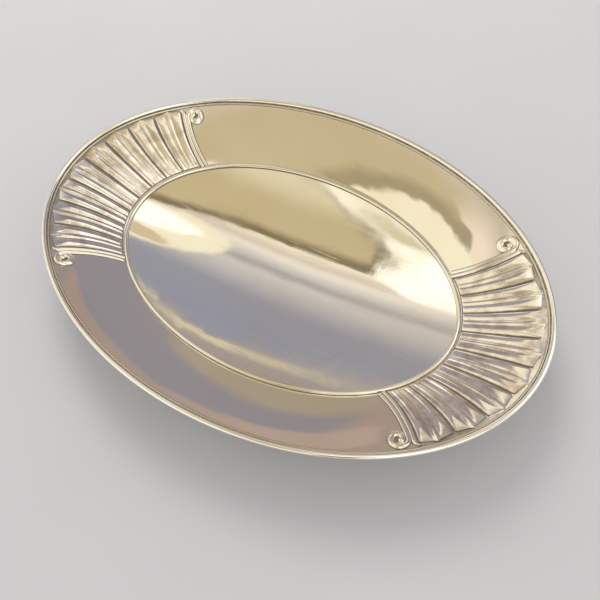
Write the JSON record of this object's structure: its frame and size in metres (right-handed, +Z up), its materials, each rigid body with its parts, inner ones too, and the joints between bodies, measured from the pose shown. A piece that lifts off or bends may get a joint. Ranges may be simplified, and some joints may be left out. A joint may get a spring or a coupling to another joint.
{
  "type": "oval serving dish",
  "caption": "Shallow oval dish on a low oval foot, with a wide sloping border, a moulded rim, and a fan of fluted leaves flanked by scrolled straps at each end.",
  "frame": {"origin": "middle of the oval foot's base, which is the middle of the underside of the whole dish", "axes": "+X along the dish's long axis, through the middle of one fan; +Y along the short axis; +Z up"},
  "size_m": [0.32, 0.222, 0.04],
  "materials": {
    "raised_silver": "polished sheet silver with fine wear",
    "drawn_silver": "bright drawn silver wire",
    "cast_silver": "polished cast silver, grey tarnish in the hollows"
  },
  "bodies": {
    "root": {"dish_body": "raised_silver", "rim_wire": "drawn_silver", "rim_reed": "drawn_silver", "well_wire": "drawn_silver", "fan_left": "cast_silver", "fan_right": "cast_silver", "scroll_left_back": "cast_silver", "scroll_left_front": "cast_silver", "scroll_right_back": "cast_silver", "scroll_right_front": "cast_silver", "foot_collar": "raised_silver", "foot_wire": "drawn_silver"}
  },
  "joints": []
}
